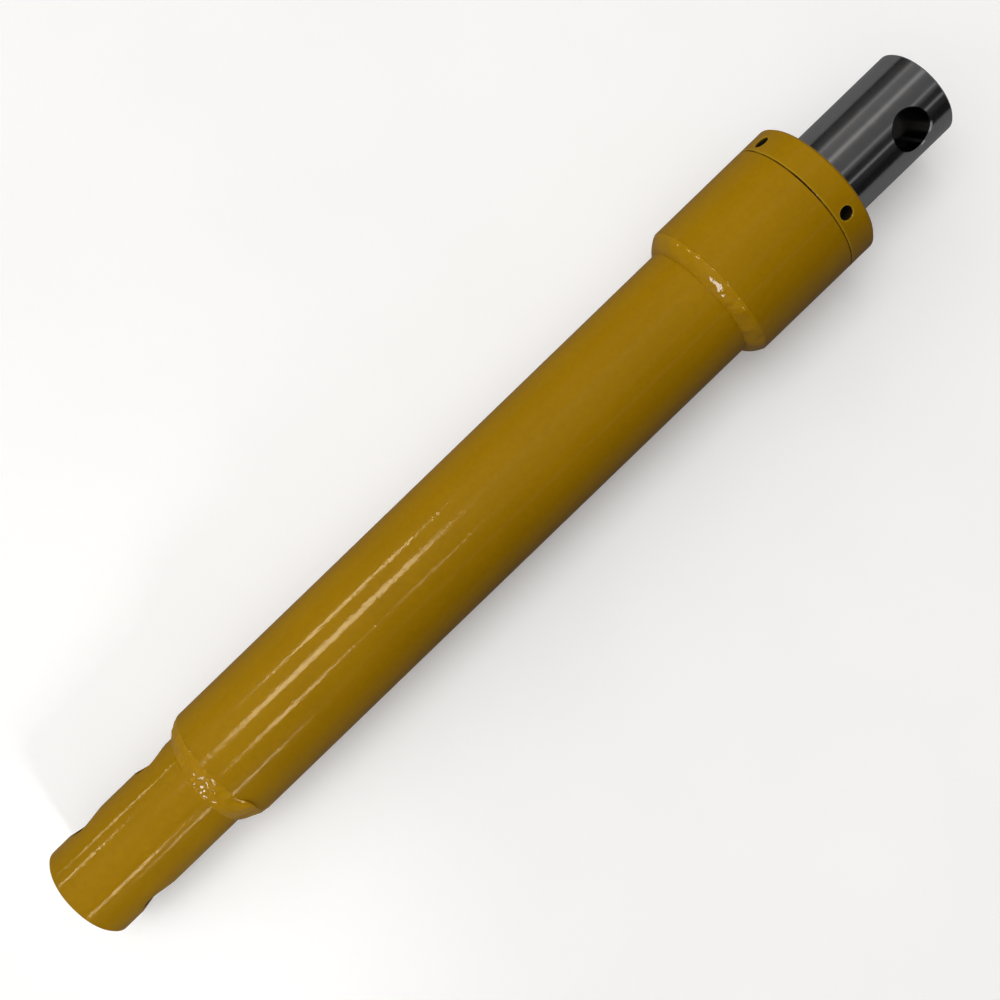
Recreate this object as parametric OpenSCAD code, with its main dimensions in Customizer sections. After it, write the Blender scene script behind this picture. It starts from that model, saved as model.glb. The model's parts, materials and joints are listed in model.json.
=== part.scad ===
// Single-acting hydraulic ram with a plunger rod, a stuffing-box head and a pin hole at each end.
// The ram lies along X. Its base pin hole is at the origin with its axis along Y, and the rod leaves towards +X.
// Everything is drawn fully retracted, in millimetres.

/* [Ram] */
// Rod travel, from fully retracted to the stop
stroke = 254; // [150:1:450]
// Diameter of the rod, which is also the working diameter of the ram
rod_d = 38.1; // [36:0.1:39]
// Diameter of the pin hole in the base lug and of the one in the rod end
pin_hole_d = 16.2; // [12:0.1:18]
// Distance from the centre of a pin hole to the end of the metal around it
pin_to_end = 18.6; // [16:0.1:24]

/* [Barrel] */
// Outer diameter of the barrel tube
tube_d = 50.8; // [50:0.1:52]
// Wall thickness of the barrel tube
tube_wall = 4.76; // [4.5:0.01:5]
// Distance from the base pin hole to the tube's welded end
lug_reach = 55; // [54.5:0.5:80]
// Distance from the base pin hole to the pipe port
port_x = 35; // [30:0.1:36.5]

/* [Head] */
// Outer diameter of the head collar and of the gland nut
head_d = 61.7; // [61:0.1:70]
// Distance from the end of the tube to the seam between collar and nut
stuffing_l = 33.15; // [32.5:0.05:45]
// Thickness of the gland nut's flange
flange_l = 12.3; // [10:0.05:16]
// Length of rod between the gland nut and the rod's pin hole when retracted
neck_l = 35.9; // [28:0.1:80]
// Number of spanner holes round the gland nut
spanner_holes = 4; // [2:1:6]

/* [Clocking] */
// Turn of the rod's pin hole about the ram, away from straight up
rod_turn = 29; // [0:1:180]
// Turn of the first spanner hole about the ram, away from straight up
spanner_turn = 28; // [0:1:90]

/* [Hidden] */
$fn = 96;

// Clearances
fit_gap = 0.05;       // radial, a running or slip fit
seal_gap = 0.07;      // radial, a sealing lip next to the rod
face_gap = 0.05;      // axial, between faces that meet
seam_gap = 0.3;       // axial, between the collar and the nut's flange
bottom_gap = 1.5;     // axial, between the rod and the base lug when retracted
stop_gap = 0.25;      // axial, between the stop ring and the packing when extended
cut = 1;              // how far a cutting shape runs past what it cuts

// Radii
rod_r = rod_d / 2;
pin_hole_r = pin_hole_d / 2;
tube_r = tube_d / 2;
bore_r = tube_r - tube_wall;
lug_r = bore_r - fit_gap;
head_r = head_d / 2;
box_r = tube_r + fit_gap;             // the collar's bore, which takes both the tube and the packing
stop_r = bore_r - 0.14;
spigot_r = rod_r - 4;                 // the turned-down inner end of the rod
snap_groove_r = spigot_r - 1.3;
band_seat_r = bore_r - 2.14;          // the bottom of the wear band's groove
bushing_r = rod_r + 2;
wiper_seat_r = rod_r + 4;
land_r = rod_r + 0.5;                 // the nut's own bore, clear of the rod

// Stations along the ram, from the base to the rod end
plug_l = 10;                          // how far the lug reaches into the tube
spigot_l = 11;
stop_l = 7.8;                         // the stop ring
snap_ring_t = 1.6;                    // the retaining ring
band_l = 4;                           // the wear band
socket_l = 13.4;                      // how far the collar reaches over the tube
lug_end_x = lug_reach + plug_l;
rod_base_x = lug_end_x + bottom_gap;
shoulder_x = rod_base_x + spigot_l;   // the rod's shoulder, against which the stop ring bears
stop_face_x = shoulder_x - face_gap;
snap_ring_x = stop_face_x - stop_l - face_gap - snap_ring_t;
band_x = stop_face_x - 2 - band_l;
tube_end_x = stop_face_x + stroke + stop_gap;
collar_x = tube_end_x - socket_l;
seam_x = tube_end_x + stuffing_l;
flange_x = seam_x + seam_gap;
head_end_x = flange_x + flange_l;
rod_pin_x = head_end_x + neck_l;
rod_end_x = rod_pin_x + pin_to_end;
wiper_x = head_end_x - 6.8;
bushing_end_x = wiper_x - 3.2;

// Packing: a chevron's lips open towards the pressure, which comes from the base
packing_rings = 4;                    // one node each
vee_t = 3;                            // spacing of the chevrons
vee_h = 2.4;                          // height of their point
adapter_t = 4.4;                      // body of the bronze ring at each end
vee_x = tube_end_x + adapter_t;
follower_x = vee_x + packing_rings * vee_t;
nose_x = follower_x + adapter_t + face_gap;

// Thread between collar and nut, drawn as rings of its own profile
thread_r = tube_r + 1.6;
thread_pitch = 1.5875;
thread_depth = 0.9;
thread_gap = 0.12;
relief_l = 1;                         // plain length before the first ridge
mouth_l = 3;                          // plain length inside the collar's mouth
o_ring_t = 2;
o_ring_room = 2.8;
o_ring_seat_r = thread_r - o_ring_t;

// Port: a pipe thread at its pitch diameter, on a spot face
port_face_r = 8.5;
port_thread_r = 6.25;
port_passage_r = 4;
port_bottom = 5;                      // from the ram's axis to the bottom of the thread
port_face_y = sqrt(lug_r * lug_r - port_face_r * port_face_r);

// Welds and edges
base_weld_l = 9.5;                    // along the lug
collar_weld_l = 4.5;                  // along the tube
weld_crown = 0.6;                     // how far a weld's face bulges
weld_toe = 0.4;                       // height of a weld's edge
prep = 1.5;                           // weld preparation on the collar's corner
edge = 0.5;
seam_edge = 0.2;                      // on both sides of the seam between collar and nut
lug_edge = 0.8;
rod_edge = 0.8;
lug_hole_ease = 1;
rod_hole_ease = 0.3;
spanner_hole_r = 2.8;
spanner_hole_depth = 6.5;
spanner_hole_inset = 4.75;            // from the flange's inner face to the holes' centres

paint = [0.78, 0.56, 0.04];
steel = [0.62, 0.62, 0.64];
bronze = [0.72, 0.50, 0.24];
black_rubber = [0.07, 0.07, 0.07];
fabric_rubber = [0.20, 0.15, 0.11];
urethane = [0.10, 0.22, 0.42];
nylon = [0.86, 0.83, 0.72];

function reversed(list) = [for (i = [len(list) - 1 : -1 : 0]) list[i]];

// Outline points of a thread's ridges in rising x, over as many whole turns as fit in a length.
function thread_outline(x0, length, shift) =
    let (turns = floor(length / thread_pitch), crest = thread_r + shift, root = crest - thread_depth)
    concat([for (i = [0 : turns - 1], p = [[root, 0], [crest, 0.44], [crest, 0.56]])
                [p[0], x0 + (i + p[1]) * thread_pitch]],
           [[root, x0 + turns * thread_pitch]]);

// Outline points of a weld's face from one [radius, x] point to another, bowed outwards.
function weld_face(start, end) =
    let (run = end - start, normal = [run[1], -run[0]] / norm(run), steps = 6)
    [for (i = [0 : steps]) let (s = i / steps) start + s * run + normal * weld_crown * 4 * s * (1 - s)];

// Turns a closed outline of [radius, x] points about the ram's axis.
module turned(outline) {
    rotate([0, 90, 0]) rotate_extrude() polygon([for (p = outline) [p[0], p[1]]]);
}

// Points what is drawn along Z away from the ram's axis, at an angle from straight up.
module radial(x, angle) {
    translate([x, 0, 0]) rotate([angle, 0, 0]) children();
}

// A round hole down from a surface at a height, with its mouth eased.
module mouth(r, surface, ease) {
    translate([0, 0, surface - ease]) cylinder(r1 = r, r2 = r + ease + cut, h = ease + cut);
}

// A pin hole right through round metal, eased at both ends.
module pin_hole(metal_r, ease) {
    cylinder(r = pin_hole_r, h = 2 * (metal_r + cut), center = true);
    for (side = [0, 180]) rotate([side, 0, 0]) mouth(pin_hole_r, metal_r, ease);
}

// ---- Barrel ----

module base_lug() {
    color(paint) difference() {
        turned([[0, -pin_to_end], [lug_r - lug_edge, -pin_to_end], [lug_r, lug_edge - pin_to_end],
                [lug_r, lug_end_x - edge], [lug_r - edge, lug_end_x], [0, lug_end_x]]);
        radial(0, 90) pin_hole(lug_r, lug_hole_ease);
        port();
    }
}

// The port's spot face and threaded hole, and the passage that turns along the lug into the tube.
module port() {
    radial(port_x, -90) {
        translate([0, 0, port_face_y]) cylinder(r = port_face_r, h = lug_r);
        translate([0, 0, port_bottom]) cylinder(r = port_thread_r, h = lug_r);
        mouth(port_thread_r, port_face_y, edge);
        cylinder(r = port_passage_r, h = port_bottom + cut);
    }
    translate([port_x - port_passage_r, 0, 0]) rotate([0, 90, 0])
        cylinder(r = port_passage_r, h = lug_end_x - port_x + port_passage_r + cut);
}

module base_weld() {
    toe_x = lug_reach - base_weld_l;
    color(paint) turned(concat([[lug_r, lug_reach], [lug_r, toe_x]],
        weld_face([lug_r + weld_toe, toe_x], [tube_r - edge, lug_reach])));
}

module barrel_tube() {
    color(paint) turned([[bore_r, lug_reach], [tube_r - edge, lug_reach], [tube_r, lug_reach + edge],
        [tube_r, tube_end_x - edge], [tube_r - edge, tube_end_x], [bore_r, tube_end_x]]);
}

module collar_weld() {
    toe_x = collar_x - collar_weld_l;
    color(paint) turned(concat([[tube_r, collar_x], [tube_r, toe_x]],
        weld_face([tube_r + weld_toe, toe_x], [head_r - fit_gap, collar_x + prep - fit_gap]),
        [[head_r - prep, collar_x]]));
}

module head_collar() {
    mouth_x = seam_x - mouth_l;
    mouth_r = thread_r + thread_gap;
    inside = concat([[box_r, collar_x], [box_r, nose_x - relief_l], [mouth_r - thread_depth, nose_x - relief_l]],
                    thread_outline(nose_x + edge, mouth_x - nose_x - edge, thread_gap),
                    [[mouth_r, mouth_x], [mouth_r, seam_x]]);
    color(paint) turned(concat([[head_r - prep, collar_x], [head_r, collar_x + prep], [head_r, seam_x - seam_edge],
        [head_r - seam_edge, seam_x]], reversed(inside)));
}

// ---- Packing ----

// A packing ring between two stations, each end either flat or pointed by a height.
module packing_ring(x0, x1, point0, point1) {
    inner_r = rod_r + seal_gap;
    middle_r = (inner_r + tube_r) / 2;
    turned([[inner_r, x0], [middle_r, x0 + point0], [tube_r, x0],
            [tube_r, x1], [middle_r, x1 + point1], [inner_r, x1]]);
}

module packing_support_ring() {
    color(bronze) packing_ring(tube_end_x, vee_x - face_gap, 0, vee_h);
}

module v_ring(i) {
    x0 = vee_x + (i - 1) * vee_t;
    color(fabric_rubber) packing_ring(x0, x0 + vee_t - face_gap, vee_h, vee_h);
}

module packing_follower_ring() {
    color(bronze) packing_ring(follower_x, follower_x + adapter_t, vee_h, 0);
}

// ---- Gland ----

module gland_nut() {
    nose_r = thread_r - thread_depth - edge;
    thread_x = nose_x + edge;
    groove_x = flange_x - o_ring_room;
    color(paint) difference() {
        turned(concat([[bushing_r + fit_gap, nose_x], [nose_r, nose_x]],
            thread_outline(thread_x, groove_x - thread_x, 0),
            [[nose_r + edge, groove_x], [o_ring_seat_r, groove_x], [o_ring_seat_r, flange_x],
             [head_r - seam_edge, flange_x], [head_r, flange_x + seam_edge], [head_r, head_end_x - 2 * edge],
             [head_r - 2 * edge, head_end_x], [wiper_seat_r, head_end_x], [wiper_seat_r, wiper_x],
             [land_r, wiper_x], [land_r, bushing_end_x], [bushing_r + fit_gap, bushing_end_x]]));
        for (i = [0 : spanner_holes - 1])
            radial(flange_x + spanner_hole_inset, spanner_turn + i * 360 / spanner_holes) {
                translate([0, 0, head_r - spanner_hole_depth])
                    cylinder(r = spanner_hole_r, h = spanner_hole_depth + cut);
                mouth(spanner_hole_r, head_r, edge / 2);
            }
    }
}

module gland_o_ring() {
    color(black_rubber) rotate([0, 90, 0]) rotate_extrude()
        translate([o_ring_seat_r + o_ring_t / 2, flange_x - o_ring_room / 2])
            circle(r = o_ring_t / 2 - fit_gap, $fn = 32);
}

module gland_bushing() {
    color(bronze) turned([[rod_r + fit_gap, nose_x + edge], [bushing_r, nose_x + edge],
        [bushing_r, bushing_end_x], [rod_r + fit_gap, bushing_end_x]]);
}

wiper_sheet = 0.8;

module wiper_case() {
    inner_r = rod_r + 1.2;
    outer_r = wiper_seat_r - fit_gap;
    front_x = head_end_x - 0.2;
    color(steel) turned([[inner_r, wiper_x], [outer_r, wiper_x], [outer_r, front_x],
        [outer_r - wiper_sheet, front_x], [outer_r - wiper_sheet, wiper_x + wiper_sheet],
        [inner_r, wiper_x + wiper_sheet]]);
}

// Two lips touch the rod: a scraper that stands proud of the nut, and a seal behind it.
module wiper_lip() {
    lip_r = rod_r + seal_gap;
    waist_r = lip_r + 0.9;
    outer_r = wiper_seat_r - 2 * fit_gap - wiper_sheet;
    back_x = wiper_x + wiper_sheet + face_gap;
    color(urethane) turned([[lip_r, back_x], [outer_r, back_x], [outer_r, head_end_x - 0.4],
        [outer_r - 0.9, head_end_x], [waist_r, head_end_x + 1.4], [lip_r, head_end_x + 1.6],
        [lip_r, head_end_x + 0.8], [waist_r, head_end_x - 1.2], [waist_r, back_x + 1.5],
        [lip_r, back_x + 0.6]]);
}

// ---- Rod ----

module rod() {
    color(steel) difference() {
        turned([[0, rod_base_x], [spigot_r - edge, rod_base_x], [spigot_r, rod_base_x + edge],
            [spigot_r, snap_ring_x - face_gap], [snap_groove_r, snap_ring_x - face_gap],
            [snap_groove_r, snap_ring_x + snap_ring_t + face_gap],
            [spigot_r, snap_ring_x + snap_ring_t + face_gap], [spigot_r, shoulder_x],
            [rod_r - edge, shoulder_x], [rod_r, shoulder_x + edge], [rod_r, rod_end_x - rod_edge],
            [rod_r - rod_edge, rod_end_x], [0, rod_end_x]]);
        radial(rod_pin_x, rod_turn) pin_hole(rod_r, rod_hole_ease);
    }
}

// The guide and stop on the rod's inner end, with a groove for the wear band and slots that let oil past it.
module stop_ring() {
    back_x = stop_face_x - stop_l;
    oil_slots = 4;
    slot_r = 1.6;
    color(steel) difference() {
        turned([[spigot_r + fit_gap, back_x], [stop_r - edge, back_x], [stop_r, back_x + edge],
            [stop_r, band_x - face_gap], [band_seat_r, band_x - face_gap],
            [band_seat_r, band_x + band_l + face_gap], [stop_r, band_x + band_l + face_gap],
            [stop_r, stop_face_x - edge], [stop_r - edge, stop_face_x], [spigot_r + fit_gap, stop_face_x]]);
        for (i = [0 : oil_slots - 1])
            rotate([i * 360 / oil_slots, 0, 0]) translate([back_x - cut, 0, stop_r - slot_r / 2])
                rotate([0, 90, 0]) cylinder(r = slot_r, h = stop_l + 2 * cut);
    }
}

// The open side of a split ring from a station, as wide as the gap between its ends.
module split(x0, length, gap) {
    translate([x0 - cut, -gap / 2, 0]) cube([length + 2 * cut, gap, bore_r]);
}

module retaining_ring() {
    inner_r = snap_groove_r + fit_gap;
    outer_r = spigot_r + 2.4;
    end_x = snap_ring_x + snap_ring_t;
    color(steel) difference() {
        turned([[inner_r, snap_ring_x], [outer_r, snap_ring_x], [outer_r, end_x], [inner_r, end_x]]);
        split(snap_ring_x, snap_ring_t, 9);
    }
}

module wear_band() {
    inner_r = band_seat_r + fit_gap;
    outer_r = bore_r - fit_gap;
    end_x = band_x + band_l;
    color(nylon) difference() {
        turned([[inner_r, band_x], [outer_r, band_x], [outer_r, end_x], [inner_r, end_x]]);
        split(band_x, band_l, 2);
    }
}

base_lug();
base_weld();
barrel_tube();
collar_weld();
head_collar();
packing_support_ring();
v_ring(1);  // v_ring_1
v_ring(2);  // v_ring_2
v_ring(3);  // v_ring_3
v_ring(4);  // v_ring_4
packing_follower_ring();
gland_nut();
gland_o_ring();
gland_bushing();
wiper_case();
wiper_lip();
rod();
stop_ring();
retaining_ring();
wear_band();
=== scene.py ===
import json
import math
import random

import bmesh
import bpy
from mathutils import Matrix, Vector, noise


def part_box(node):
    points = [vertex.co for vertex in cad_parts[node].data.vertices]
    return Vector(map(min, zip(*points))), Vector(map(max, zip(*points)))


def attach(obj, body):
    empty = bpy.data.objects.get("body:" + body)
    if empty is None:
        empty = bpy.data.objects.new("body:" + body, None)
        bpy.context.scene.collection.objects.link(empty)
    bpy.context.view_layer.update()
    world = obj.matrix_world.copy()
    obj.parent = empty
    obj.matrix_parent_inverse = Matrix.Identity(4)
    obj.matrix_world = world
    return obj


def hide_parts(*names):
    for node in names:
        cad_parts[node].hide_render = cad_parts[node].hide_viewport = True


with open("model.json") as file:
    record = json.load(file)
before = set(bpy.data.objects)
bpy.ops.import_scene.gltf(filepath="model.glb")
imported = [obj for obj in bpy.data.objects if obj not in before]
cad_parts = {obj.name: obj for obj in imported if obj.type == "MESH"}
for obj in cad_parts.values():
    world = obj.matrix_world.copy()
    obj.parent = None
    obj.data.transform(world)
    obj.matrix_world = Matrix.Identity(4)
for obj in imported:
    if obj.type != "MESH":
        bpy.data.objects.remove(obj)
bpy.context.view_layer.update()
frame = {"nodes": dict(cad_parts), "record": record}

MM = 0.001

# ---- Places and sizes, all from the frame, in metres ----

MOUNTS = {m["name"]: m for m in frame["record"]["mounts"]}


def station(node, end):
    """Where a node starts (0) or ends (1) along the ram."""
    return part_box(node)[end].x


def radius(node):
    """A round node's outer radius."""
    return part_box(node)[1].z


LUG_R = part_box("base_lug")[1].z
TUBE_R = radius("barrel_tube")
HEAD_R = radius("head_collar")
LUG_START, LUG_TOE = station("base_lug", 0), station("base_weld", 0)
TUBE_START = station("barrel_tube", 0)
COLLAR_TOE, COLLAR_START = station("collar_weld", 0), station("head_collar", 0)
SEAM_START = station("head_collar", 1)
SEAM_GAP = 0.3 * MM
NUT_END = station("gland_nut", 1)
PORT = MOUNTS["port"]


# ---- Camera: straight above the ram, which runs up the picture to the right ----

def make_camera():
    """Looks down on the ram, as far off as the photograph's perspective says."""
    height, along, across = 0.4811, 0.2040, -0.0017
    lean = math.radians(0.17)
    slope_in_picture = math.radians(44)
    ahead = Vector((math.cos(lean), 0, -math.sin(lean)))
    left = Vector((0, 1, 0))
    right = math.cos(slope_in_picture) * ahead - math.sin(slope_in_picture) * left
    up = math.sin(slope_in_picture) * ahead + math.cos(slope_in_picture) * left
    data = bpy.data.cameras.new("camera")
    data.sensor_width = 36
    data.lens = 44.17
    data.clip_start, data.clip_end = 0.01, 100
    camera = bpy.data.objects.new("camera", data)
    bpy.context.scene.collection.objects.link(camera)
    turn = Matrix((right, up, right.cross(up))).transposed().to_4x4()
    place = (along + height * math.sin(lean), across, height * math.cos(lean))
    camera.matrix_world = Matrix.Translation(place) @ turn
    bpy.context.scene.camera = camera


# ---- Shader building ----

class Shader:
    """A material under construction, with its Principled shader and short ways to add nodes."""

    def __init__(self, name, **values):
        self.material = bpy.data.materials.new(name)
        self.material.use_nodes = True
        self.tree = self.material.node_tree
        self.surface = self.tree.nodes["Principled BSDF"]
        for key, value in values.items():
            self.surface.inputs[key.replace("_", " ").title().replace("Ior", "IOR")].default_value = value
        self.place = self.node("ShaderNodeTexCoord").outputs["Object"]

    def node(self, kind, **settings):
        made = self.tree.nodes.new(kind)
        for key, value in settings.items():
            setattr(made, key, value)
        return made

    def fill(self, socket, value):
        """Links a socket, or sets it if the value is plain."""
        if isinstance(value, bpy.types.NodeSocket):
            self.tree.links.new(value, socket)
        else:
            socket.default_value = value

    def stretched(self, x=1, y=1, z=1):
        """The object's own coordinates, scaled along each axis."""
        made = self.node("ShaderNodeVectorMath", operation="MULTIPLY")
        self.fill(made.inputs[0], self.place)
        made.inputs[1].default_value = (x, y, z)
        return made.outputs[0]

    def noise(self, size_mm, detail=2.0, roughness=0.5, place=None):
        """Noise from 0 to 1, whose features are about size_mm across."""
        made = self.node("ShaderNodeTexNoise")
        self.fill(made.inputs["Vector"], place or self.place)
        made.inputs["Scale"].default_value = 1 / (size_mm * MM)
        made.inputs["Detail"].default_value = detail
        made.inputs["Roughness"].default_value = roughness
        return made.outputs["Fac"]

    def specks(self, spacing_mm, size_mm, place=None):
        """1 in round specks of about size_mm, 0 between them."""
        made = self.node("ShaderNodeTexVoronoi")
        self.fill(made.inputs["Vector"], place or self.place)
        made.inputs["Scale"].default_value = 1 / (spacing_mm * MM)
        return self.steps(made.outputs["Distance"], (0, 1), (size_mm / spacing_mm / 2, 0))

    def steps(self, value, *stops):
        """A value remapped through (position, result) stops."""
        ramp = self.node("ShaderNodeValToRGB")
        points = ramp.color_ramp.elements
        while len(points) < len(stops):
            points.new(0.5)
        for point, (position, result) in zip(points, stops):
            point.position = position
            point.color = (result,) * 3 + (1,) if not isinstance(result, tuple) else result + (1,)
        self.fill(ramp.inputs[0], value)
        return ramp.outputs[0]

    def sum(self, operation, a, b):
        made = self.node("ShaderNodeMath", operation=operation)
        self.fill(made.inputs[0], a)
        self.fill(made.inputs[1], b)
        return made.outputs[0]

    def blend(self, factor, a, b, how="MIX"):
        """Colours a and b mixed by a factor."""
        made = self.node("ShaderNodeMix", data_type="RGBA", blend_type=how)
        self.fill(made.inputs[0], factor)
        self.fill(made.inputs[6], a + (1,) if isinstance(a, tuple) else a)
        self.fill(made.inputs[7], b + (1,) if isinstance(b, tuple) else b)
        return made.outputs[2]

    def bump(self, height, depth_um, under=None):
        """A bump of a given depth, on top of another one."""
        made = self.node("ShaderNodeBump")
        made.inputs["Distance"].default_value = depth_um * 1e-6
        self.fill(made.inputs["Height"], height)
        if under is not None:
            self.fill(made.inputs["Normal"], under)
        return made.outputs[0]

    def split(self):
        """The object's own x, y and z."""
        made = self.node("ShaderNodeSeparateXYZ")
        self.fill(made.inputs[0], self.place)
        return made.outputs

    def away_from(self, point, axis):
        """Distance from a line through a point, in metres."""
        offset = self.node("ShaderNodeVectorMath", operation="SUBTRACT")
        self.fill(offset.inputs[0], self.place)
        offset.inputs[1].default_value = point
        cross = self.node("ShaderNodeVectorMath", operation="CROSS_PRODUCT")
        self.fill(cross.inputs[0], offset.outputs[0])
        cross.inputs[1].default_value = axis
        length = self.node("ShaderNodeVectorMath", operation="LENGTH")
        self.fill(length.inputs[0], cross.outputs[0])
        return length.outputs["Value"]

    def around(self):
        """Distance from the ram's axis, in metres."""
        return self.away_from((0, 0, 0), (1, 0, 0))

    def fade(self, value, start, end):
        """0 where a value is at start or before it, 1 where it is at end or past it."""
        made = self.node("ShaderNodeMapRange")
        self.fill(made.inputs["Value"], value)
        made.inputs["From Min"].default_value = start
        made.inputs["From Max"].default_value = end
        return made.outputs["Result"]

    def done(self, color=None, rough=None, normal=None):
        for name, value in (("Base Color", color), ("Roughness", rough), ("Normal", normal)):
            if value is not None:
                self.fill(self.surface.inputs[name], value)
        return self.material


# ---- Materials ----

PAINT_COAT = 0.32
# Lighter paint colour, used as a painted highlight on the nut's seam edge and hole rims.
PAINTED_HIGHLIGHT = (0.42, 0.25, 0.012)


def yellow_paint(name, peel=1.0, tone=1.0, coat=PAINT_COAT, details=None):
    """Sprayed enamel: mustard yellow with a thin gloss, orange peel and dust nibs.
    details(shader, color) adds to its colour."""
    s = Shader(name, metallic=0, coat_weight=coat, coat_roughness=0.06, coat_ior=1.5, specular_ior_level=0.03)
    low, high = (0.318 * tone, 0.168 * tone, 0.0002), (0.346 * tone, 0.184 * tone, 0.0005)
    cloud = s.steps(s.noise(38, 3), (0.3, low), (0.7, high))
    mottle = s.steps(s.noise(2.2, 3, 0.6), (0.25, (0.94, 0.93, 0.85)), (0.75, (1.04, 1.04, 1.10)))
    color = s.blend(1.0, cloud, mottle, "MULTIPLY")
    color = s.blend(s.specks(9, 0.42), color, (0.10, 0.055, 0.002))
    if details is not None:
        color = details(s, color)
    rough = s.steps(s.noise(6, 3), (0.3, 0.40), (0.7, 0.52))
    shape = s.bump(s.noise(7, 1), 30 * peel)
    shape = s.bump(s.noise(1.6, 1), 45 * peel, shape)
    shape = s.bump(s.noise(0.6, 1), 18 * peel, shape)
    shape = s.bump(s.specks(13, 0.7), 22, shape)
    material = s.done(color, rough, shape)
    s.fill(s.surface.inputs["Coat Normal"], shape)
    return material


# Near-black colour for unpainted hole walls: bare steel, darkened as painted shade.
BARE_WALL_IN_SHADE = (0.018, 0.013, 0.008)
# Colour of the painted shade along the seam between collar and nut.
SEAM_SHADE = (0.055, 0.020, 0.002)
SEAM_OPEN = (SEAM_START, HEAD_R * math.sin(math.radians(8)), HEAD_R * math.cos(math.radians(8)))
# The nut's four spanner holes lie on two axes across the ram.
SPANNER_R, SPANNER_INSET = 2.8 * MM, 4.75 * MM
SPANNER_TURNS = (math.radians(28), math.radians(118))


def lug_details(s, color):
    """No paint on the walls of the pin hole and the port; they are coloured near-black, which paints their
    shade.
    """
    pin, port = MOUNTS["base_pin_bore"], PORT
    pin_r, port_r = pin["dims"]["r_mm"] * MM, port["dims"]["r_mm"] * MM
    in_pin = s.fade(s.away_from(pin["pos_m"], pin["axis"]), pin_r + 0.5 * MM, pin_r + 0.1 * MM)
    in_port = s.fade(s.away_from(port["pos_m"], port["axis"]), port_r + 0.3 * MM, port_r + 0.1 * MM)
    in_port = s.sum("MULTIPLY", in_port, s.fade(s.split()[1], 0, 2 * MM))
    return s.blend(s.sum("MAXIMUM", in_pin, in_port), color, BARE_WALL_IN_SHADE)


def painted_seam_shade(s, color):
    """A dull dark line of painted shade along the seam, where the paint has not closed it."""
    from_seam = s.sum("ABSOLUTE", s.sum("SUBTRACT", s.split()[0], SEAM_START + SEAM_GAP / 2), 0)
    line = s.fade(from_seam, 0.46 * MM, 0.26 * MM)
    patchy = s.steps(s.noise(9, 2, 0.6, s.stretched(0, 1, 1)), (0.38, 0.0), (0.62, 0.6))
    wide = s.fade(s.away_from(SEAM_OPEN, (1, 0, 0)), 12 * MM, 4 * MM)
    dark = s.sum("MULTIPLY", line, s.sum("MAXIMUM", patchy, wide))
    s.fill(s.surface.inputs["Coat Weight"], s.sum("MULTIPLY", s.sum("SUBTRACT", 1.0, line), PAINT_COAT))
    return s.blend(dark, color, SEAM_SHADE)


def nut_details(s, color):
    """Lighter paint along the seam and round the spanner holes as painted highlight, and bare walls inside
    the holes, darkened with depth as painted shade.
    """
    x = s.split()[0]
    flange = SEAM_START + SEAM_GAP
    light = s.fade(x, flange + 0.85 * MM, flange + 0.5 * MM)
    for turn in SPANNER_TURNS:
        axis = (0, -math.sin(turn), math.cos(turn))
        off_hole = s.away_from((flange + SPANNER_INSET, 0, 0), axis)
        light = s.sum("MAXIMUM", light, s.fade(off_hole, SPANNER_R + 0.55 * MM, SPANNER_R + 0.2 * MM))
    # Painted highlight: the seam edge and the spanner-hole rims are lightened in colour.
    color = s.blend(s.sum("MULTIPLY", light, 0.7), color, PAINTED_HIGHLIGHT)
    # Painted shade: a dark line along the seam.
    color = painted_seam_shade(s, color)
    # Painted shade: the spanner holes' walls turn near-black with depth below the surface.
    below_skin = s.fade(s.around(), HEAD_R - 0.10 * MM, HEAD_R - 0.9 * MM)
    before_end = s.fade(x, NUT_END - 1.2 * MM, NUT_END - 1.6 * MM)
    return s.blend(s.sum("MULTIPLY", below_skin, before_end), color, BARE_WALL_IN_SHADE)


# Two painted highlights beside the rod's pin hole, standing for glints on its edge, placed from the hole's
# centre.
GLINT_LARGE = Vector((7.3, -4.4, -2.4)) * MM
GLINT_SMALL = Vector((2.4, -7.6, -4.2)) * MM
# Near-black colour, painted as shade inside the rod's pin hole.
BORE_SHADE = (0.05, 0.047, 0.045)


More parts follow.
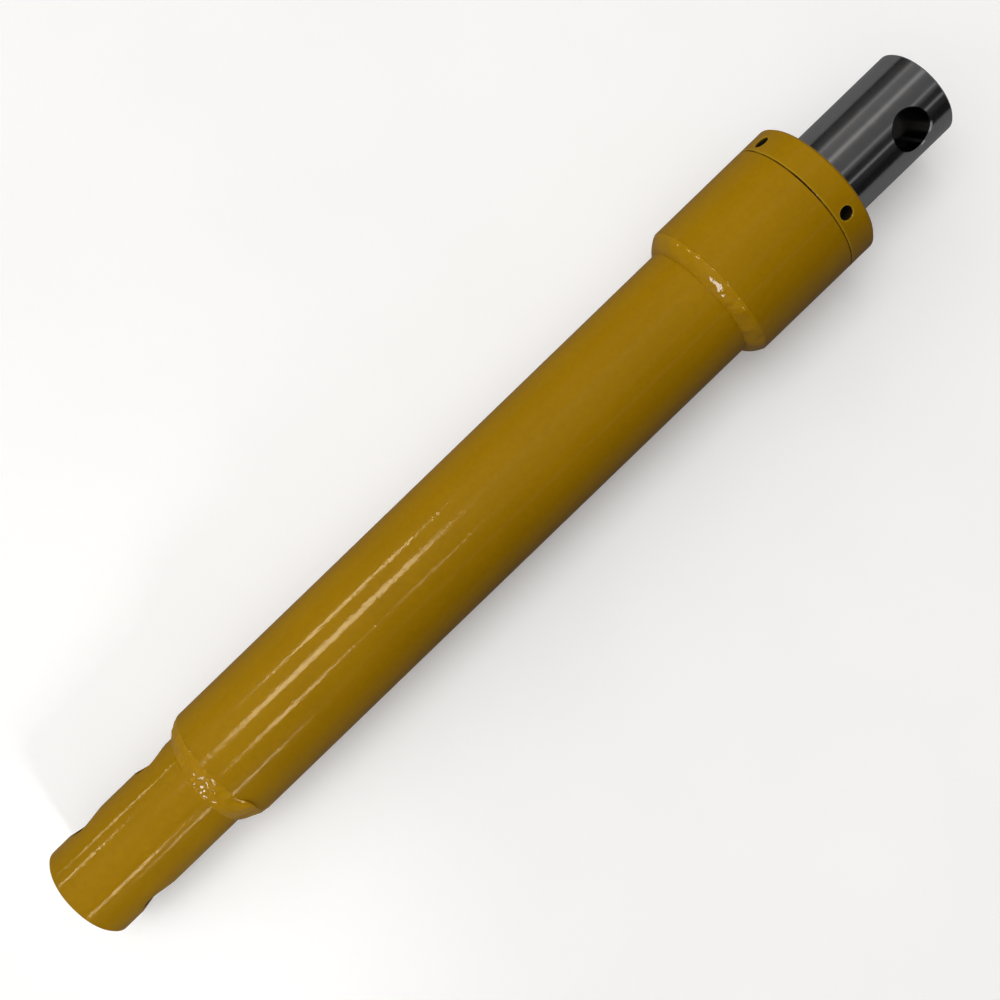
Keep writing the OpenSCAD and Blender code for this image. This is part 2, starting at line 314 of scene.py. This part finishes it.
def ground_steel():
    """The rod, ground round and round. Its pin hole's bore is near-black as painted shade, and its edge has
    painted highlights on one side.
    """
    s = Shader("ground_rod", metallic=1, anisotropic=0.8, anisotropic_rotation=0.25)
    tangent = s.node("ShaderNodeTangent", direction_type="RADIAL", axis="X")
    s.fill(s.surface.inputs["Tangent"], tangent.outputs[0])
    rings = s.noise(0.5, 3, 0.7, s.stretched(1, 0.02, 0.02))
    color = s.steps(rings, (0.25, (0.465, 0.470, 0.490)), (0.75, (0.510, 0.515, 0.540)))
    stain = s.steps(s.noise(14, 4, 0.6), (0.5, 0.0), (0.8, 0.35))
    color = s.blend(stain, color, (0.40, 0.37, 0.34))
    pin = MOUNTS["rod_pin_bore"]
    pin_r = pin["dims"]["r_mm"] * MM
    centre, axis = Vector(pin["pos_m"]), Vector(pin["axis"])
    from_pin = s.away_from(centre, axis)
    painted_glint = s.sum("MAXIMUM", s.fade(s.away_from(centre + GLINT_LARGE, axis), 2.6 * MM, 1.4 * MM),
                 s.fade(s.away_from(centre + GLINT_SMALL, axis), 1.4 * MM, 0.7 * MM))
    painted_glint = s.sum("MULTIPLY", painted_glint, s.fade(from_pin, pin_r + 1.7 * MM, pin_r + 1.2 * MM))
    # Painted highlight: white, less metallic patches beside the hole.
    color = s.blend(painted_glint, color, (1.0, 1.0, 1.0))
    s.fill(s.surface.inputs["Metallic"], s.sum("SUBTRACT", 1.0, s.sum("MULTIPLY", painted_glint, 0.35)))
    # Painted shade: the bore's wall is coloured near-black.
    color = s.blend(s.fade(from_pin, pin_r + 0.35 * MM, pin_r + 0.25 * MM), color, BORE_SHADE)
    scratch = s.noise(0.25, 2, 0.6, s.stretched(0.03, 1, 1))
    rough = s.steps(s.noise(4, 3), (0.3, 0.16), (0.7, 0.20))
    shape = s.bump(rings, 1.2)
    shape = s.bump(scratch, 0.6, shape)
    return s.done(color, rough, shape)


def machined(name, low, high, rough=(0.3, 0.45), metallic=1.0, line_mm=0.35, depth_um=6):
    """Turned metal: fine rings round the ram, with the colour and gloss varying between them."""
    s = Shader(name, metallic=metallic)
    x = s.split()[0]
    ring = s.node("ShaderNodeCombineXYZ")
    s.fill(ring.inputs[0], x)
    s.fill(ring.inputs[1], s.around())
    lines = s.noise(line_mm, 2, 0.7, ring.outputs[0])
    color = s.blend(lines, low, high)
    gloss = s.steps(s.noise(3, 3), (0.3, rough[0]), (0.7, rough[1]))
    return s.done(color, gloss, s.bump(lines, depth_um))


def fabric_rubber():
    """Rubber with woven cloth pressed into it."""
    s = Shader("fabric_rubber", metallic=0, specular_ior_level=0.3)
    weave = s.node("ShaderNodeTexMagic", turbulence_depth=1)
    s.fill(weave.inputs["Vector"], s.place)
    weave.inputs["Scale"].default_value = 2600
    color = s.blend(weave.outputs["Fac"], (0.035, 0.022, 0.015), (0.085, 0.058, 0.038))
    rough = s.steps(s.noise(1, 2), (0.3, 0.6), (0.7, 0.85))
    return s.done(color, rough, s.bump(weave.outputs["Fac"], 40))


def moulded(name, low, high, rough, depth_um=8, size_mm=0.6):
    """Moulded rubber or plastic with a fine grain."""
    s = Shader(name, metallic=0)
    color = s.blend(s.noise(7, 3), low, high)
    gloss = s.steps(s.noise(2, 3), (0.3, rough - 0.06), (0.7, rough + 0.06))
    return s.done(color, gloss, s.bump(s.noise(size_mm, 3), depth_um))


def plain_floor():
    """Pale to look at, but as dim as a workbench in the light and reflections that it sends up to the ram."""
    s = Shader("floor", metallic=0, specular_ior_level=0.1)
    pale = s.steps(s.noise(60, 3), (0.3, (0.90, 0.90, 0.89)), (0.7, (0.92, 0.92, 0.91)))
    seen = s.node("ShaderNodeLightPath").outputs["Is Camera Ray"]
    s.fill(s.surface.inputs["Emission Strength"], s.sum("MULTIPLY", seen, 0.15))
    return s.done(s.blend(seen, (0.20, 0.20, 0.20), pale), 0.75, s.bump(s.noise(1.5, 2), 10))


# ---- Meshes ----

def new_piece(name, verts, faces, material, body):
    """A closed mesh as a named piece, smooth shaded, riding on a CAD body."""
    mesh = bpy.data.meshes.new(name)
    mesh.from_pydata(verts, [], faces)
    tidy = bmesh.new()
    tidy.from_mesh(mesh)
    bmesh.ops.recalc_face_normals(tidy, faces=tidy.faces)
    tidy.to_mesh(mesh)
    tidy.free()
    for face in mesh.polygons:
        face.use_smooth = True
    mesh.materials.append(material)
    piece = bpy.data.objects.new(name, mesh)
    bpy.context.scene.collection.objects.link(piece)
    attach(piece, body)
    return piece


def ring_point(x, r, angle):
    """A point at a radius from the ram's axis, at an angle from straight up towards -Y."""
    return Vector((x, -r * math.sin(angle), r * math.cos(angle)))


def swept_ring(sections):
    """Vertices and faces of a ring. sections are its cross-sections in order round it, each a closed list
    of points."""
    count, around = len(sections[0]), len(sections)
    verts = [p for section in sections for p in section]
    faces = []
    for i in range(around):
        j = (i + 1) % around
        for a in range(count):
            b = (a + 1) % count
            faces.append((i * count + a, i * count + b, j * count + b, j * count + a))
    return verts, faces


def bump_at(distance, reach):
    """A smooth bump: 1 in its middle, 0 at its reach."""
    return max(0, 1 - (distance / reach) ** 2) ** 1.5


def weld_bead(name, replaced, toe, top, root, crown, uneven, skew, lobes, spread, limit_r, seed):
    """A weld right round the ram. toe, top and root are points (x, r) of its section.

    uneven scales its lumps. skew, in mm, moves its toe along the ram on the +Y side, and back on the other.
    A lobe is (angle in degrees, how far across from toe to top, size in mm, height in mm). spread (angle and
    width in degrees, mm) carries the bead past its top."""
    steps_around, steps_across = 900, 30
    toe, top, root = Vector(toe), Vector(top), Vector(root)
    run = top - toe
    along, out = run.normalized(), Vector((-run.y, run.x)).normalized()
    mean_r = (toe.y + top.y) / 2

    def lumps(ring, across, size_mm, layer):
        place = ring * mean_r + Vector((0, 0, across * run.length))
        return noise.noise(place / (size_mm * MM) + Vector((seed, layer, 0)))

    sections = []
    for i in range(steps_around):
        angle = 2 * math.pi * i / steps_around
        ring = Vector((math.cos(angle), math.sin(angle), 0))
        turn = (math.degrees(angle) - spread[0] + 180) % 360 - 180
        past = spread[2] * bump_at(turn, spread[1])
        start = toe - along * (0.50 * lumps(ring, 0, 7, 0) + 0.25 * lumps(ring, 0, 2.4, 1)) * MM
        start.x += skew * (0.3 - math.sin(angle)) * MM
        end = top + along * (0.30 * lumps(ring, 0, 4, 2) - 0.15 + past) * MM
        section = []
        for k in range(steps_across + 1):
            v = k / steps_across
            held = min(1, 8 * v * (1 - v))
            height = crown * (1 - abs(2 * v - 1) ** 2.6)
            height += held * uneven * (0.36 * lumps(ring, v, 4, 3) + 0.20 * lumps(ring, v, 1.8, 4)) * MM
            swirl = angle * mean_r / (2.6 * MM) + 0.8 * (2 * v - 1) ** 2 + 1.2 * lumps(ring, v, 8, 5)
            height += held * uneven * 0.035 * MM * math.cos(2 * math.pi * swirl)
            for at, across, size, tall in lobes:
                gone = (angle - math.radians(at) + math.pi) % (2 * math.pi) - math.pi
                height += tall * MM * bump_at(math.hypot(gone * mean_r, (v - across) * run.length), size * MM)
            point = start.lerp(end, v) + out * height
            section.append(ring_point(point.x, min(point.y, limit_r), angle))
        section.append(ring_point(root.x, root.y, angle))
        sections.append(section)
    verts, faces = swept_ring(sections)
    piece = new_piece(name, verts, faces, LIT_WELD_PAINT, "barrel")
    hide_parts(replaced)


def base_weld():
    """The fillet between the lug and the tube's end: lumpy, with one lobe overlapping the tube."""
    lobes = [(-7, 0.08, 1.1, 0.28), (-3, 0.16, 1.2, 0.30), (2, 0.06, 1.0, 0.26), (8, 0.12, 1.4, 0.30),
             (15, 0.08, 1.1, 0.26), (-5, 0.55, 1.3, 0.25), (14, 0.60, 2.4, 0.40), (14, 0.60, 1.0, -0.40),
             (10, 0.95, 1.2, 0.24), (36, 0.45, 7.0, 0.50), (52, 0.85, 6.0, 0.45), (-28, 0.15, 1.5, 0.22),
             (-35, 0.70, 4.0, 0.30), (150, 0.50, 5.0, 0.50), (215, 0.60, 4.0, 0.40)]
    weld_bead("base_weld_bead", "base_weld",
              toe=(LUG_TOE - 0.2 * MM, LUG_R - 0.15 * MM), top=(TUBE_START + 0.75 * MM, TUBE_R + 0.05 * MM),
              root=(TUBE_START + 0.1 * MM, LUG_R - 1 * MM), crown=0.75 * MM, uneven=1.0, skew=1.8,
              lobes=lobes, spread=(47, 15, 1.8), limit_r=HEAD_R, seed=4.0)


def collar_weld():
    """The fillet between the tube and the collar, flatter and more even, flush with the collar."""
    lobes = [(14, 0.35, 3.0, 0.25), (7, 0.55, 1.2, 0.15), (27, 0.60, 4.0, 0.30), (70, 0.50, 6.0, 0.30),
             (-18, 0.15, 1.2, 0.20), (-50, 0.50, 5.0, 0.25), (190, 0.50, 5.0, 0.40)]
    weld_bead("collar_weld_bead", "collar_weld",
              toe=(COLLAR_TOE - 0.1 * MM, TUBE_R - 0.15 * MM),
              top=(COLLAR_START + 1.45 * MM, HEAD_R - 0.06 * MM),
              root=(COLLAR_START + 0.6 * MM, TUBE_R - 0.5 * MM), crown=0.80 * MM, uneven=0.4, skew=0,
              lobes=lobes, spread=(0, 1, 0), limit_r=HEAD_R - 0.01 * MM, seed=21.0)


def seam_paint():
    """Paint in the seam between collar and nut, coloured dark as painted shade. Its surface lies deeper in
    some places than in others.
    """
    steps_around = 720
    sections = []
    for i in range(steps_around):
        angle = 2 * math.pi * i / steps_around
        ring = Vector((math.cos(angle), math.sin(angle), 0))
        long_wave = noise.noise(ring * 3.1 + Vector((0, 0, 5)))
        short_wave = noise.noise(ring * 24 + Vector((0, 0, 9)))
        open_stretch = bump_at((math.degrees(angle) + 186) % 360 - 180, 26)
        depth = (0.20 + 0.5 * max(0, long_wave + 0.1) + 0.9 * open_stretch + 0.35 * short_wave) * MM
        depth = max(0.12 * MM, depth)
        edges = (SEAM_START - 0.01 * MM, SEAM_START + SEAM_GAP + 0.01 * MM)
        shoulder, middle = HEAD_R - depth, HEAD_R - depth - 0.05 * MM
        section = [ring_point(edges[0], HEAD_R - 2 * MM, angle), ring_point(edges[0], shoulder, angle),
                   ring_point(sum(edges) / 2, middle, angle), ring_point(edges[1], shoulder, angle),
                   ring_point(edges[1], HEAD_R - 2 * MM, angle)]
        sections.append(section)
    verts, faces = swept_ring(sections)
    new_piece("seam_paint", verts, faces, SHADED_SEAM_PAINT, "barrel")


def port_thread():
    """The taper-pipe thread inside the port, as one helical ridge."""
    pitch, depth = 1.411 * MM, 0.6 * MM
    wall = PORT["dims"]["r_mm"] * MM
    centre = Vector(PORT["pos_m"])
    length = PORT["dims"]["length_mm"] * MM
    low = centre.y - length / 2 + 0.3 * MM
    turns = (length - pitch - 0.6 * MM) / pitch
    per_turn = 56
    count = int(turns * per_turn)
    verts, faces = [], []
    for i in range(count + 1):
        angle = 2 * math.pi * i / per_turn
        fade = min(1, i / 20, (count - i) / 20)
        y = low + pitch * i / per_turn
        crest = -depth * fade
        profile = ((0, 0.06 * MM), (0.42 * pitch, crest), (0.58 * pitch, crest), (pitch, 0.06 * MM))
        for up, inward in profile:
            r = wall + inward
            verts.append((centre.x + r * math.cos(angle), y + up, centre.z + r * math.sin(angle)))
    for i in range(count):
        for a in range(4):
            b = (a + 1) % 4
            faces.append((4 * i + a, 4 * i + b, 4 * i + 4 + b, 4 * i + 4 + a))
    faces += [(0, 1, 2, 3), tuple(4 * count + k for k in (3, 2, 1, 0))]
    new_piece("port_thread", verts, faces, PORT_STEEL, "barrel")


def weld_spatter():
    """Small beads of weld metal stuck to the tube and the lug near the welds, under the paint."""
    draw = random.Random(7)
    shape = bmesh.new()
    spots = []
    for _ in range(11):
        spots.append((TUBE_START + draw.uniform(2.5, 16) * MM, TUBE_R, draw.uniform(-math.pi, math.pi)))
    for _ in range(3):
        spots.append((LUG_TOE - draw.uniform(1.5, 9) * MM, LUG_R, draw.uniform(-0.9, 0.9)))
    for _ in range(7):
        spots.append((COLLAR_TOE - draw.uniform(2, 10) * MM, TUBE_R, draw.uniform(-math.pi, math.pi)))
    for x, r, angle in spots:
        size = draw.uniform(0.22, 0.45) * MM
        made = bmesh.ops.create_icosphere(shape, subdivisions=3, radius=size)
        squash = Matrix.Diagonal((draw.uniform(0.9, 1.3), draw.uniform(0.9, 1.2), 0.7, 1))
        place = Matrix.Translation(ring_point(x, r - 0.05 * MM, angle)) @ Matrix.Rotation(angle, 4, "X")
        bmesh.ops.transform(shape, matrix=place @ squash, verts=made["verts"])
    mesh = bpy.data.meshes.new("weld_spatter")
    shape.to_mesh(mesh)
    shape.free()
    for face in mesh.polygons:
        face.use_smooth = True
    mesh.materials.append(PAINT)
    piece = bpy.data.objects.new("weld_spatter", mesh)
    bpy.context.scene.collection.objects.link(piece)
    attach(piece, "barrel")


# ---- Studio ----

def make_floor():
    """A plain pale floor, leaning so that the ram lies on its lug's end and its collar."""
    lug, collar = Vector((LUG_START, 0, -LUG_R)), Vector((COLLAR_START + 1.5 * MM, 0, -HEAD_R))
    lean = math.atan2(lug.z - collar.z, collar.x - lug.x)
    bpy.ops.mesh.primitive_plane_add(size=12)
    floor = bpy.context.object
    floor.name = "floor"
    just_below = Matrix.Translation((0, 0, -0.1 * MM))
    floor.matrix_world = Matrix.Translation(lug) @ Matrix.Rotation(lean, 4, "Y") @ just_below
    floor.data.materials.append(plain_floor())


LAMP_COLOR = (1.0, 0.80, 0.46)


def lamp(name, place, size, radiance, seen_in_gloss=True):
    """A rectangular lamp that the camera never sees. It shows only in gloss, or only lights the paint."""
    data = bpy.data.lights.new(name, "AREA")
    data.shape = "RECTANGLE"
    data.size, data.size_y = size
    data.energy = radiance * size[0] * size[1] * math.pi
    light = bpy.data.objects.new(name, data)
    bpy.context.scene.collection.objects.link(light)
    light.matrix_world = place
    light.visible_camera = False
    light.visible_diffuse = not seen_in_gloss
    light.visible_glossy = seen_in_gloss
    return data


def make_lights():
    """Rows of ceiling lamps, broken by gaps, whose reflections are the streaks along the paint. Windows
    beyond the base end glint on the welds. Two soft lamps only light the paint, one of them only the lug.
    A row is (name, angle in degrees, lamps), and a lamp is (start, end, width, radiance)."""
    away = 2.4
    rows = [("far_left", -75, [(-1.08, -0.80, 0.18, 16)]),
            ("left", -52, [(-1.17, -1.02, 0.20, 26), (-0.44, -0.02, 0.20, 26), (-0.48, 0.04, 0.10, 20)]),
            ("middle", -21.5, [(-0.72, -0.60, 0.30, 8), (-0.60, -0.02, 0.36, 23), (-0.02, 0.07, 0.16, 14)]),
            ("centre", 14.5, [(-0.61, -0.38, 0.20, 26), (-0.38, -0.32, 0.09, 20), (-0.10, 0.05, 0.10, 16)]),
            ("right", 41.5, [(-1.17, -0.90, 0.20, 26)]),
            ("far_right", 54.8, [(-0.935, -0.54, 0.16, 18)])]
    for row, angle, lamps in rows:
        around = math.radians(angle)
        facing_ram = Matrix.Rotation(around, 4, "X")
        for i, (start, end, width, radiance) in enumerate(lamps):
            place = Matrix.Translation(ring_point((start + end) / 2, away, around)) @ facing_ram
            lamp(f"lamps_{row}_{i + 1}", place, (end - start, width), radiance).color = LAMP_COLOR
    windows = [("window_low", 64, (0.5, 0.9), 20), ("window_high", 38, (0.25, 0.3), 2.5)]
    for name, lean, size, radiance in windows:
        turn = Matrix.Rotation(math.radians(4), 4, "X") @ Matrix.Rotation(math.radians(-lean), 4, "Y")
        lamp(name, turn @ Matrix.Translation((0, 0, away)), size, radiance)
    turn = Matrix.Rotation(math.radians(-15), 4, "X")
    lamp("soft_box", turn @ Matrix.Translation((0.2, 0, 2.2)), (1.2, 1.2), 3.2, seen_in_gloss=False)
    turn = Matrix.Rotation(math.radians(55), 4, "X") @ Matrix.Rotation(math.radians(-12), 4, "Y")
    lug_lamp = lamp("lug_lamp", turn @ Matrix.Translation((0, 0, 0.45)), (0.1, 0.1), 1.0, seen_in_gloss=False)
    lug_lamp.spread = math.radians(40)


def room_levels():
    """How bright the room looks in reflections, as (angle from straight up towards -Y, level)."""
    walls = [(-90, 0.025), (-66, 0.06), (-60, 0.16), (-8, 0.115), (22, 0.10), (29, 0.022), (60, 0.030),
             (70, 0.012), (90, 0.012)]
    windows = [(-56, 4, 0.28), (-24, 8, 0.38), (16, 4.5, 0.30), (46, 4.5, 0.36)]

    def wall(angle):
        for (a, low), (b, high) in zip(walls, walls[1:]):
            if a <= angle <= b:
                return low + (high - low) * (angle - a) / (b - a)

    levels = [(a, level) for a, level in walls if all(abs(a - at) > half for at, half, _ in windows)]
    for at, half, level in windows:
        levels += [(at - half, wall(at - half)), (at, level), (at + half, wall(at + half))]
    return sorted(levels)


def make_sky():
    """Soft light, strongest from above on the +Y side and the base end. Reflections see a dim room, and the
    camera a pale one."""
    world = bpy.data.worlds.new("studio")
    bpy.context.scene.world = world
    world.use_nodes = True
    tree = world.node_tree
    tree.nodes.clear()

    def node(kind, *values, **settings):
        made = tree.nodes.new(kind)
        for key, value in settings.items():
            setattr(made, key, value)
        for socket, value in zip(made.inputs, values):
            if isinstance(value, bpy.types.NodeSocket):
                tree.links.new(value, socket)
            else:
                socket.default_value = value
        return made

    direction = node("ShaderNodeTexCoord").outputs["Generated"]
    brightest = (-0.40, 0.60, 0.69)
    towards_light = node("ShaderNodeVectorMath", direction, brightest, operation="DOT_PRODUCT")
    lit_side = node("ShaderNodeMath", towards_light.outputs["Value"], 0.0, operation="MAXIMUM").outputs[0]
    soft_light = node("ShaderNodeVectorMath", operation="MULTIPLY_ADD")
    tree.links.new(lit_side, soft_light.inputs[0])
    soft_light.inputs[1].default_value = (0.98, 0.99, 1.0)
    soft_light.inputs[2].default_value = (0.115, 0.095, 0.085)

    _, y, z = node("ShaderNodeSeparateXYZ", direction).outputs
    tilt = node("ShaderNodeMath", y, z, operation="ARCTAN2").outputs[0]
    across = node("ShaderNodeMath", tilt, 1 / math.pi, 0.5, operation="MULTIPLY_ADD").outputs[0]
    room = node("ShaderNodeValToRGB", across)
    levels = [(0.5 - angle / 180, level) for angle, level in reversed(room_levels())]
    stops = room.color_ramp.elements
    while len(stops) < len(levels):
        stops.new(0.5)
    for stop, (position, level) in zip(stops, levels):
        stop.position, stop.color = position, (level, level, level, 1)

    path = node("ShaderNodeLightPath").outputs
    light = node("ShaderNodeMix", path["Is Glossy Ray"], data_type="RGBA")
    tree.links.new(soft_light.outputs[0], light.inputs[6])
    tree.links.new(room.outputs[0], light.inputs[7])
    shown = node("ShaderNodeMix", path["Is Camera Ray"], data_type="RGBA")
    tree.links.new(light.outputs[2], shown.inputs[6])
    shown.inputs[7].default_value = (0.82, 0.82, 0.81, 1)
    background = node("ShaderNodeBackground", shown.outputs[2])
    node("ShaderNodeOutputWorld", background.outputs[0])


# ---- The ram ----

make_camera()
PAINT = yellow_paint("paint")
# The welds' paint is made 12% lighter: painted light for faces that lean towards the lamps.
LIT_WELD_PAINT = yellow_paint("paint_on_weld", peel=0.4, tone=1.12, coat=0.5)
# Paint inside the seam, darkened to a fifth of its tone as painted shade in the gap.
SHADED_SEAM_PAINT = yellow_paint("paint_in_seam", peel=0.2, tone=0.2, coat=0.0)
PORT_STEEL = machined("port_steel", (0.10, 0.10, 0.10), (0.20, 0.19, 0.18))
bronze = machined("bronze", (0.42, 0.24, 0.09), (0.62, 0.40, 0.18))
rubber = fabric_rubber()
FINISHES = {
    "base_lug": yellow_paint("paint_on_lug", details=lug_details),
    # The collar's paint carries painted shade along the seam.
    "head_collar": yellow_paint("paint_on_collar", details=painted_seam_shade),
    "gland_nut": yellow_paint("paint_on_nut", details=nut_details),
    "rod": ground_steel(),
    "stop_ring": machined("turned_steel", (0.34, 0.34, 0.35), (0.5, 0.5, 0.52)),
    "retaining_ring": machined("black_steel", (0.03, 0.03, 0.035), (0.06, 0.06, 0.07), (0.4, 0.55)),
    "wiper_case": machined("zinc_sheet", (0.5, 0.5, 0.48), (0.62, 0.62, 0.6), (0.25, 0.4)),
    "packing_support_ring": bronze, "packing_follower_ring": bronze, "gland_bushing": bronze,
    "v_ring_1": rubber, "v_ring_2": rubber, "v_ring_3": rubber, "v_ring_4": rubber,
    "gland_o_ring": moulded("nitrile", (0.012, 0.012, 0.012), (0.025, 0.025, 0.025), 0.42),
    "wiper_lip": moulded("urethane", (0.012, 0.02, 0.045), (0.02, 0.035, 0.075), 0.38),
    "wear_band": moulded("nylon", (0.62, 0.58, 0.44), (0.72, 0.68, 0.52), 0.5),
}
for name, node in frame["nodes"].items():
    node.material_slots[0].material = FINISHES.get(name, PAINT)

base_weld()
collar_weld()
seam_paint()
port_thread()
weld_spatter()

make_floor()
make_sky()
make_lights()
bpy.context.scene.view_settings.view_transform = "Standard"
